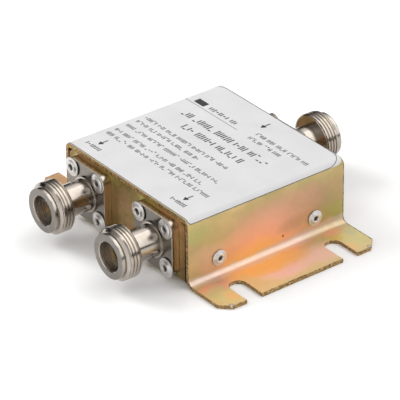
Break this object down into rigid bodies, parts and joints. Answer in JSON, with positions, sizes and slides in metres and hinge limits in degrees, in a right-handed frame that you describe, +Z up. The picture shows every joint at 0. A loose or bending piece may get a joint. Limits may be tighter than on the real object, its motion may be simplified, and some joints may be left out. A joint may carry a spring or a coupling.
{
  "type": "coaxial power splitter",
  "caption": "Coaxial power splitter: folded sheet housing with slotted feet, riveted threaded sockets at both ends and a printed label over a line divider board.",
  "frame": {"origin": "middle of the housing's footprint, on the plane that it is mounted to", "axes": "+X along the output end, -Y out of the output sockets, +Y out of the input socket, +Z up through the label"},
  "size_m": [0.0916, 0.093, 0.0222],
  "materials": {
    "passivated_sheet": "zinc plated sheet steel, yellow passivated, satin",
    "label_film": "printed white film, semi matt",
    "board_laminate": "glass laminate",
    "copper_foil": "bare copper",
    "resistor_ceramic": "glazed ceramic",
    "nickel_plate": "nickel plated brass, turned",
    "white_fluoropolymer": "turned fluoropolymer",
    "gold_plate": "gold plated, bright",
    "solder": "soft solder",
    "rivet_aluminium": "satin aluminium"
  },
  "bodies": {
    "root": {"cover": "passivated_sheet", "tray": "passivated_sheet", "label": "label_film", "circuit_board": "board_laminate", "ground_copper": "copper_foil", "divider_line": "copper_foil", "ground_seam_left": "solder", "ground_seam_right": "solder", "isolation_resistor_1": "resistor_ceramic", "isolation_resistor_2": "resistor_ceramic", "isolation_resistor_3": "resistor_ceramic", "out_left_socket_body": "nickel_plate", "out_left_insulator": "white_fluoropolymer", "out_left_contact": "gold_plate", "out_left_solder": "solder", "out_left_rivet_1": "rivet_aluminium", "out_left_rivet_2": "rivet_aluminium", "out_left_rivet_3": "rivet_aluminium", "out_left_rivet_4": "rivet_aluminium", "out_right_socket_body": "nickel_plate", "out_right_insulator": "white_fluoropolymer", "out_right_contact": "gold_plate", "out_right_solder": "solder", "out_right_rivet_1": "rivet_aluminium", "out_right_rivet_2": "rivet_aluminium", "out_right_rivet_3": "rivet_aluminium", "out_right_rivet_4": "rivet_aluminium", "in_socket_body": "nickel_plate", "in_insulator": "white_fluoropolymer", "in_contact": "gold_plate", "in_solder": "solder", "in_rivet_1": "rivet_aluminium", "in_rivet_2": "rivet_aluminium", "in_rivet_3": "rivet_aluminium", "in_rivet_4": "rivet_aluminium", "cover_rivet_1": "rivet_aluminium", "cover_rivet_2": "rivet_aluminium", "cover_rivet_3": "rivet_aluminium", "cover_rivet_4": "rivet_aluminium"}
  },
  "joints": []
}
